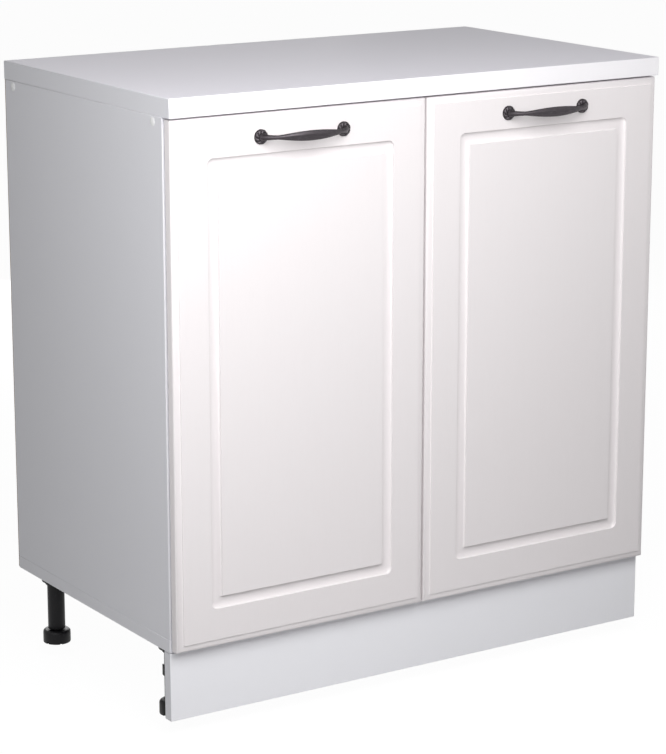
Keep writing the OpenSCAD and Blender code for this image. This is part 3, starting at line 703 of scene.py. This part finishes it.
class CABINET_OT_boards(bpy.types.Operator):
    """Builds the worktop, the carcass boards, the shelf and the plinth, with bands on their seen edges"""

    bl_idname = "cabinet.boards"
    bl_label = "Boards"

    # Node, finish of its faces, finish of the edges that it shows, and the sides that are raw
    rows = (
        # The worktop's front band is brightened as painted light
        ("worktop", "melamine_worktop", "edging_worktop", ("+y",)),
        ("side_panel_left", "melamine_white", "edging_white", ("+y", "+z", "-z")),
        ("side_panel_right", "melamine_white", "edging_white", ("+y", "+z", "-z")),
        ("bottom_panel", "melamine_white", "edging_white", ("+y",)),
        ("top_rail_front", "melamine_white", "edging_white", ("+y", "-x", "+x")),
        ("top_rail_back", "melamine_white", "edging_white", ("+y", "-x", "+x")),
        ("shelf", "melamine_white", "edging_white", ("+y", "-x", "+x")),
        # The plinth's brightened melamine carries painted light
        ("plinth", "melamine_plinth", "edging_white", ()),
    )

    def execute(self, context):
        sizes = context.scene.cabinet_boards
        for node, face, edge, raw in self.rows:
            low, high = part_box(node)
            if node == "plinth":
                high.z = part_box("bottom_panel")[0].z - sizes.plinth_gap
            finishes, ends = (face, edge, "raw_chipboard"), ()
            radius, slot = sizes.edge_radius, "white_board"
            if node == "worktop":
                # Its ends have the boards' own band; its front has a brighter copy of it, painted light
                # where the lamps fall on the front
                finishes, ends = (*finishes, "edging_white"), ("-x", "+x")
                radius, slot = sizes.worktop_radius, "white_worktop"
            bm = bmesh.new()
            box_between(bm, low, high)
            round_edges(bm, bm.edges, radius)
            self.dress(bm, high - low, raw, ends)
            cutter = self.pin_holes(node, sizes) if node.startswith("side_panel") else None
            make_piece(bm, node + "_board", "carcass", finishes, (node,), cutter, angle=20)
        self.back_panel()
        return {"FINISHED"}

    def dress(self, bm, size, raw, ends):
        """Gives each face of a board its material, by the side that it looks to."""
        thin = min(range(3), key=lambda k: size[k])
        bm.normal_update()
        for face in bm.faces:
            k = max(range(3), key=lambda k: abs(face.normal[k]))
            side = ("-" if face.normal[k] < 0 else "+") + "xyz"[k]
            flat = abs(face.normal[k]) > 0.99
            face.material_index = BAND
            if k == thin:
                face.material_index = FACE
            elif side in raw and flat:
                face.material_index = RAW
            elif side in ends:
                face.material_index = END

    def pin_holes(self, node, sizes):
        """Three holes above each other for every shelf pin."""
        bm = bmesh.new()
        left = node.endswith("left")
        low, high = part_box(node)
        plane = high.x if left else low.x
        inward = -1 if left else 1
        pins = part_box("shelf_pins")
        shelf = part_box("shelf")[0].z
        # A pin's middle from the end of the pins' box and under the shelf, and the depth of its hole
        inset, drop, depth = 5 * MM, 2.5 * MM, 10 * MM
        for y in (pins[0].y + inset, pins[1].y - inset):
            for k in (-1, 0, 1):
                z = shelf - drop + k * sizes.pin_pitch
                start, end = (plane - inward * CLEAR, y, z), (plane + inward * depth, y, z)
                rod(bm, start, end, sizes.pin_radius, segments=24)
        for face in bm.faces:
            face.material_index = RAW
        return bm

    def back_panel(self):
        """Hardboard with a white lacquered inside and a raw outside."""
        low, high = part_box("back_panel")
        bm = bmesh.new()
        box_between(bm, low, high)
        round_edges(bm, bm.edges, 0.3 * MM, segments=1)
        bm.normal_update()
        for face in bm.faces:
            face.material_index = 0 if face.normal.y < -0.9 else 1
        make_piece(bm, "hardboard_back", "carcass", ("lacquered_hardboard", "raw_hardboard"),
                   ("back_panel",))


class CABINET_OT_doors(bpy.types.Operator):
    """Builds the two wrapped doors, with a rounded band, a milled groove and a raised centre panel"""

    bl_idname = "cabinet.doors"
    bl_label = "Doors"

    def execute(self, context):
        sizes = context.scene.cabinet_doors
        for side in ("left", "right"):
            low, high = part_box(side + "_door")
            bm = self.slab(high - low, sizes)
            self.mill(bm, high - low, sizes)
            # The door's own plane stands up, with its front towards -Y
            stand = Matrix.Translation((low.x, high.y, low.z)) @ Matrix.Rotation(math.pi / 2, 4, "X")
            bmesh.ops.transform(bm, matrix=stand, verts=bm.verts)
            make_piece(bm, side + "_door_wrapped", side + "_door", ("wrap_film",),
                       (side + "_door",), self.bores(side, low, high, sizes), angle=40)
        return {"FINISHED"}

    def slab(self, size, sizes):
        """Door body with its rounded band; the middle of its front is left open."""
        width, thickness, height = size
        bm = bmesh.new()
        box_between(bm, (0, 0, 0), (width, height, thickness - sizes.band_depth))
        back = min(bm.faces, key=lambda face: face.calc_center_median().z)
        round_edges(bm, back.edges, 0.4 * MM, segments=1)
        front = max(bm.faces, key=lambda face: face.calc_center_median().z)
        # A quarter of an ellipse, from the door's edge to the step
        rise = sizes.band_depth - sizes.band_step
        steps, done = 8, (0.0, 0.0)
        for k in range(1, steps + 1):
            angle = math.radians(90 * (1 - k / steps))
            point = (sizes.band_width * (1 - math.sin(angle)), rise * math.cos(angle))
            self.step_in(bm, front, point[0] - done[0], point[1] - done[1])
            done = point
        # The small step, with a softened upper corner
        self.step_in(bm, front, 0.1 * MM, sizes.band_step * 0.8)
        self.step_in(bm, front, 0.15 * MM, sizes.band_step * 0.2)
        bmesh.ops.delete(bm, geom=[front], context="FACES_ONLY")
        return bm

    def mill(self, bm, size, sizes):
        """Groove and centre panel: the cutter leaves round outer corners and sharp inner ones."""
        width, thickness, height = size
        rim = [edge for edge in bm.edges if edge.is_boundary]
        inner = (width - 2 * sizes.frame_width, height - 2 * sizes.frame_width)
        place = Matrix.Translation((width / 2, height / 2, thickness)) @ Matrix.Diagonal((*inner, 1.0, 1.0))
        corners = bmesh.ops.create_grid(bm, x_segments=1, y_segments=1, size=0.5, matrix=place)["verts"]
        half = sizes.groove_width / 2
        bmesh.ops.bevel(bm, geom=corners, offset=half, offset_type="OFFSET", segments=10, profile=0.5,
                        affect="VERTICES", material=-1, clamp_overlap=False)
        panel = self.widest(bm)
        bmesh.ops.triangle_fill(bm, use_beauty=True, edges=rim + list(panel.edges), normal=(0, 0, 1))
        # Places across half the groove, as shares of its half width from the middle
        shares = (1.0, 0.985, 0.94, 0.87, 0.76, 0.62, 0.45, 0.25, 0.02)
        cove = sizes.groove_depth - sizes.groove_step
        depths = [0.0] + [sizes.groove_step + cove * (1 - share * share) ** 0.5 for share in shares[1:]]
        for k in range(1, len(shares)):
            self.step_in(bm, panel, half * (shares[k - 1] - shares[k]), depths[k - 1] - depths[k])
        # At the groove's bottom the four rounded corners close up into points on the cutter's path
        path, reach = sizes.frame_width + half, 2 * MM
        for x in (path, width - path):
            for y in (path, height - path):
                corner = Vector((x, y, thickness - depths[-1]))
                near = [vert for vert in panel.verts if (vert.co - corner).length < reach]
                bmesh.ops.pointmerge(bm, verts=near, merge_co=corner)
                panel = self.widest(bm)
        for k in range(len(shares) - 2, -1, -1):
            self.step_in(bm, panel, half * (shares[k] - shares[k + 1]), depths[k + 1] - depths[k])

    def widest(self, bm):
        """The largest face that looks forwards."""
        bm.normal_update()
        return max((face for face in bm.faces if face.normal.z > 0.99), key=lambda face: face.calc_area())

    def step_in(self, bm, face, inset, lift):
        """Insets a face in its plane and lifts what is inside."""
        bmesh.ops.inset_region(bm, faces=[face], thickness=inset, depth=0.0, use_even_offset=True,
                               use_boundary=True)
        bmesh.ops.translate(bm, verts=list(face.verts), vec=(0, 0, lift))

    def bores(self, side, low, high, sizes):
        """Blind bores for the two hinge cups."""
        x = low.x + sizes.bore_edge if side == "left" else high.x - sizes.bore_edge
        bm = bmesh.new()
        for z in (low.z + sizes.bore_height, high.z - sizes.bore_height):
            start, end = (x, high.y + CLEAR, z), (x, high.y - sizes.bore_depth, z)
            rod(bm, start, end, sizes.bore_radius, segments=64)
        return bm


class CABINET_OT_handles(bpy.types.Operator):
    """Builds the arched handles and their round bases with a flower relief"""

    bl_idname = "cabinet.handles"
    bl_label = "Handles"

    def execute(self, context):
        sizes = context.scene.cabinet_handles
        for side in ("left", "right"):
            low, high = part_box(side + "_rosettes")
            middle = Vector(((low.x + high.x) / 2, high.y, (low.z + high.z) / 2))
            stand = Matrix.Translation(middle) @ Matrix.Rotation(math.pi / 2, 4, "X")
            bow = self.bow(sizes, middle.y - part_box(side + "_handle")[0].y)
            bases = bmesh.new()
            for x in (-sizes.span / 2, sizes.span / 2):
                self.base(bases, sizes, x)
            for bm, name, node in ((bow, "_bow", "_handle"), (bases, "_flower_bases", "_rosettes")):
                bmesh.ops.transform(bm, matrix=stand, verts=bm.verts)
                make_piece(bm, side + name, side + "_door", ("antique_zinc_alloy",),
                           (side + node,), angle=50)
        return {"FINISHED"}

    # Section of the bow's middle, outwards and up: two flat facets that meet in a ridge, and a round back
    section = ((1.0, 0.28), (0.93, 0.4), (0.5, 0.88), (0.3, 0.98), (0.1, 1.0), (-0.4, 0.86), (-0.8, 0.5),
               (-0.95, 0.0), (-0.8, -0.5), (-0.4, -0.86), (0.1, -1.0), (0.34, -0.96), (0.52, -0.84),
               (0.94, 0.16))

    def bow(self, sizes, reach):
        """Bow drawn along its arch: wide at the bases, slim at the necks and swelling in the middle."""
        half, base = sizes.span / 2, sizes.base_height
        # The curve rises to three quarters of its middle guides' height
        crest = base + (reach - sizes.bow_thickness / 2 - base) / 0.75
        guides = [Vector(p) for p in ((-half, base), (sizes.lean - half, crest), (half - sizes.lean, crest),
                                      (half, base))]

        def point(t):
            a, b, c, d = guides
            return (1 - t) ** 3 * a + 3 * (1 - t) ** 2 * t * b + 3 * (1 - t) * t**2 * c + t**3 * d

        def heading(t):
            if t < 0.001 or t > 0.999:
                return Vector((0.0, 1.0 if t < 0.5 else -1.0))
            return (point(min(t + 0.004, 1.0)) - point(max(t - 0.004, 0.0))).normalized()

        # Shares of the bow's length: the flare's end, the swell's start, the small ring and its half width
        flare_end, swell_start, ring_place, ring_half = 0.17, 0.18, 0.165, 0.01
        sides = len(self.section)
        bm = bmesh.new()
        bmesh.ops.create_grid(bm, x_segments=sides, y_segments=80, size=0.5)
        for vert in bm.verts:
            t = vert.co.y + 0.5
            k = round((vert.co.x + 0.5) * sides) % sides
            nearest = min(t, 1 - t)
            flare = max(0.0, 1 - nearest / flare_end) ** 1.1
            swell = math.sin(math.pi / 2 * max(0.0, nearest - swell_start) / (0.5 - swell_start)) ** 1.3
            ring = 0.3 * MM * math.exp(-(((nearest - ring_place) / ring_half) ** 2))
            neck = sizes.neck_radius + (sizes.end_radius - sizes.neck_radius) * flare + ring
            thick = neck + (sizes.bow_thickness / 2 - sizes.neck_radius) * swell
            tall = neck + (sizes.bow_height / 2 - sizes.neck_radius) * swell
            # Round at the necks, and faceted once the swell is well under way
            facet = Vector(self.section[k])
            out, rise = facet.normalized().lerp(facet, min(1.0, 2.2 * swell))
            ahead = heading(t)
            vert.co = (point(t).x - ahead.y * out * thick, rise * tall, point(t).y + ahead.x * out * thick)
        bmesh.ops.remove_doubles(bm, verts=bm.verts, dist=0.01 * MM)
        bmesh.ops.holes_fill(bm, edges=bm.edges, sides=0)
        return bm

    def base(self, bm, sizes, x):
        """Round base: a low dome whose relief has petals, a beaded rim and a collar under the bow."""
        part = bmesh.new()
        radius, height = sizes.base_radius, sizes.base_height
        collar = sizes.end_radius + 0.8 * MM
        outline = [(0.0, 0.0), (radius, 0.0)]
        outline += [(radius * math.cos(a), height * 0.25 + height * 0.55 * math.sin(a))
                    for a in [math.radians(4 * k) for k in range(0, 16)]]
        outline += [(sizes.end_radius + 0.9 * MM, height * 0.9), (sizes.end_radius + 0.6 * MM, height),
                    (0.0, height)]
        turned(part, outline, steps=128)
        # How far the petals lean to one side, like a rosette that is being turned, and where the rim starts
        lean, rim = 0.5, 0.8
        for vert in part.verts:
            reach = math.hypot(vert.co.x, vert.co.y)
            if vert.co.z < height * 0.2 or reach < collar:
                continue
            share = (reach - sizes.end_radius) / (radius - sizes.end_radius)
            angle = math.atan2(vert.co.y, vert.co.x) + lean * share
            # 1 along the middle of a petal, and about a quarter in the groove between two
            petal = (math.cos(angle * sizes.petals / 2) ** 2 + 0.012) ** 0.32
            bulge = math.sin(math.pi * min(1.0, share * 1.05))
            vert.co.z += (2.0 * petal - 1.8) * bulge * MM
            if share > rim:
                dent = 0.7 * MM * (1 - petal) * min(1.0, (share - rim) * 10) / reach
                vert.co.x -= vert.co.x * dent
                vert.co.y -= vert.co.y * dent
        bmesh.ops.translate(part, verts=part.verts, vec=(x, 0, 0))
        join_in(bm, part)


class CABINET_OT_legs(bpy.types.Operator):
    """Builds the levelling legs, their screw feet and the threads on the spindles"""

    bl_idname = "cabinet.legs"
    bl_label = "Legs"

    def execute(self, context):
        sizes = context.scene.cabinet_legs
        for end in ("front_left", "front_right", "back_left", "back_right"):
            low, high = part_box("leg_" + end)
            place = Matrix.Translation(((low.x + high.x) / 2, (low.y + high.y) / 2, 0.0))
            notches = self.notches(sizes, place, end.endswith("left"))
            for bm, name, body, node, cutter in (
                (self.leg(sizes, low.z, high.z), end + "_leg", "carcass", "leg_" + end, None),
                (self.foot(sizes), end + "_foot", "foot_" + end, "foot_" + end, notches),
            ):
                bmesh.ops.transform(bm, matrix=place, verts=bm.verts)
                make_piece(bm, name, body, ("black_polypropylene",), (node,), cutter)
        return {"FINISHED"}

    def leg(self, sizes, bottom, top):
        """Flange, step and tube, with a bore for the spindle."""
        bm = bmesh.new()
        flange, step, tube = sizes.flange_radius, sizes.step_radius, sizes.tube_radius
        bore = sizes.spindle_radius + 0.05 * MM
        bore_top = top - 7 * MM
        ledge = top - sizes.flange_height
        foot = ledge - sizes.step_height
        turned(bm, [
            (0.0, top), (flange - 0.4 * MM, top), (flange, top - 0.4 * MM), (flange, ledge + 0.7 * MM),
            (flange - 0.2 * MM, ledge + 0.2 * MM), (flange - 0.7 * MM, ledge), (step + 0.4 * MM, ledge),
            (step, ledge - 0.4 * MM), (step, foot + 1 * MM), (step - 0.3 * MM, foot + 0.3 * MM),
            (step - 1 * MM, foot), (tube + 0.5 * MM, foot), (tube, foot - 0.6 * MM),
            (tube, bottom + 0.8 * MM), (tube - 0.3 * MM, bottom + 0.2 * MM), (tube - 0.9 * MM, bottom),
            (bore + 0.5 * MM, bottom), (bore, bottom + 0.5 * MM), (bore, bore_top), (0.0, bore_top),
        ], steps=56)
        return bm

    def foot(self, sizes):
        """Rounded base, a small washer face and the threaded spindle."""
        bm = bmesh.new()
        radius, height, spindle = sizes.foot_radius, sizes.foot_height, sizes.spindle_radius
        core, top = spindle - 0.8 * MM, height + sizes.spindle_length
        # Rounding of the base's upper edge, radius of the washer face and its upper side
        edge, washer, ledge = 4 * MM, 9 * MM, height + 1 * MM
        outline = [(0.0, 0.0), (radius - 0.8 * MM, 0.0), (radius - 0.2 * MM, 0.2 * MM), (radius, 0.8 * MM)]
        outline += [(radius - edge + edge * math.cos(a), height - edge + edge * math.sin(a))
                    for a in [math.radians(15 * k) for k in range(0, 7)]]
        outline += [(washer + 0.3 * MM, height), (washer, height + 0.3 * MM), (washer - 0.2 * MM, ledge),
                    (core, ledge), (core, top - 1.2 * MM), (core - 1 * MM, top), (0.0, top)]
        turned(bm, outline, steps=56)
        # The thread: a triangle, sunk a little in the core, drawn up round it in small steps
        pitch, rings = sizes.thread_pitch, 28
        turns = int((sizes.spindle_length - 5 * MM) / pitch)
        root, half = core - 0.2 * MM, pitch * 0.46
        start = height + 1.2 * MM + pitch / 2
        places = ((root, 0, start - half), (spindle, 0, start), (root, 0, start + half))
        corners = [bm.verts.new(place) for place in places]
        sides = [bm.edges.new((corners[k], corners[(k + 1) % 3])) for k in range(3)]
        bmesh.ops.spin(bm, geom=corners + sides, cent=(0, 0, 0), axis=(0, 0, 1), dvec=(0, 0, pitch / rings),
                       angle=2 * math.pi * turns, steps=rings * turns, use_merge=False, use_duplicate=False)
        bmesh.ops.holes_fill(bm, edges=[edge for edge in bm.edges if edge.is_boundary], sides=3)
        return bm

    def notches(self, sizes, place, left):
        """Six notches in the foot's lower rim."""
        bm = bmesh.new()
        radius = sizes.foot_radius
        depth, half, height = 3 * MM, 1.5 * MM, 3 * MM
        for turn in range(20, 321, 60):
            verts = box_between(bm, (radius - depth, -half, -CLEAR), (radius + 2 * CLEAR, half, height))
            angle = math.radians(turn if left else 180 - turn)
            bmesh.ops.transform(bm, matrix=place @ Matrix.Rotation(angle, 4, "Z"), verts=verts)
        return bm


class CABINET_OT_hardware(bpy.types.Operator):
    """Gives the hinges, screws, pins, caps, clips and bumpers their finishes"""

    bl_idname = "cabinet.hardware"
    bl_label = "Hardware"

    # Finish, and the nodes that keep their own shape and only get it
    rows = (
        ("nickel_plated_steel", ("hinge_plates", "hinge_arms", "left_hinge_links", "right_hinge_links",
                                 "left_hinge_cups", "right_hinge_cups", "arm_pins", "shelf_pins")),
        ("zinc_plated_steel", ("back_nails", "worktop_screws", "rail_screws", "base_screws",
                               "plate_screws", "arm_screws", "clip_screws", "leg_screws",
                               "left_cup_screws", "right_cup_screws",
                               "left_handle_screws", "right_handle_screws")),
        ("black_polypropylene", ("plinth_clips",)),
        ("clear_polyurethane", ("left_bumpers", "right_bumpers")),
        ("turned_beech", ("rail_dowels",)),
    )

    def execute(self, context):
        for key, names in self.rows:
            for name in names:
                paint_node(name, key)
        self.caps(context.scene.cabinet_boards)
        return {"FINISHED"}

    def caps(self, sizes):
        """Domed caps over the screws in the side panels."""
        low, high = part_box("screw_caps")
        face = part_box("side_panel_right")[1].x
        radius, height = sizes.cap_radius, high.x - face
        # Height of the rim under the dome, and radius of the ball that the dome is a slice of
        lip = 0.15 * MM
        ball = (radius**2 + (height - lip) ** 2) / (2 * (height - lip))
        arc = [radius * k / 8 for k in range(8, -1, -1)]
        outline = [(0.0, 0.0), (radius, 0.0)]
        outline += [(r, height - ball + math.sqrt(ball**2 - r**2)) for r in arc]
        caps = bmesh.new()
        for side in (-1, 1):
            for y in (low.y + radius, high.y - radius):
                part = bmesh.new()
                turned(part, outline, steps=40)
                place = Matrix.Translation((side * face, y, (low.z + high.z) / 2))
                stand = place @ Matrix.Rotation(side * math.pi / 2, 4, "Y")
                bmesh.ops.transform(part, matrix=stand, verts=part.verts)
                join_in(caps, part)
        make_piece(caps, "domed_caps", "carcass", ("white_polypropylene",),
                   ("screw_caps",))


class CABINET_PT_panel(bpy.types.Panel):
    """Lists the steps that build the cabinet"""

    bl_label = "Kitchen base cabinet"
    bl_idname = "CABINET_PT_panel"
    bl_space_type = "VIEW_3D"
    bl_region_type = "UI"
    bl_category = "Cabinet"

    def draw(self, context):
        for step in STEPS:
            self.layout.operator(step.bl_idname)


GROUPS = (
    ("cabinet_colours", CabinetColours),
    ("cabinet_stage", CabinetStage),
    ("cabinet_doors", CabinetDoors),
    ("cabinet_handles", CabinetHandles),
    ("cabinet_boards", CabinetBoards),
    ("cabinet_legs", CabinetLegs),
)
STEPS = (CABINET_OT_stage, CABINET_OT_boards, CABINET_OT_doors, CABINET_OT_handles, CABINET_OT_legs,
         CABINET_OT_hardware)


def register():
    for name, group in GROUPS:
        bpy.utils.register_class(group)
        setattr(bpy.types.Scene, name, PointerProperty(type=group))
    for step in (*STEPS, CABINET_PT_panel):
        bpy.utils.register_class(step)


def unregister():
    for step in reversed((*STEPS, CABINET_PT_panel)):
        bpy.utils.unregister_class(step)
    for name, group in reversed(GROUPS):
        delattr(bpy.types.Scene, name)
        bpy.utils.unregister_class(group)


def main():
    register()
    bpy.ops.cabinet.stage()
    bpy.ops.cabinet.boards()
    bpy.ops.cabinet.doors()
    bpy.ops.cabinet.handles()
    bpy.ops.cabinet.legs()
    bpy.ops.cabinet.hardware()


if __name__ == "__main__":
    main()
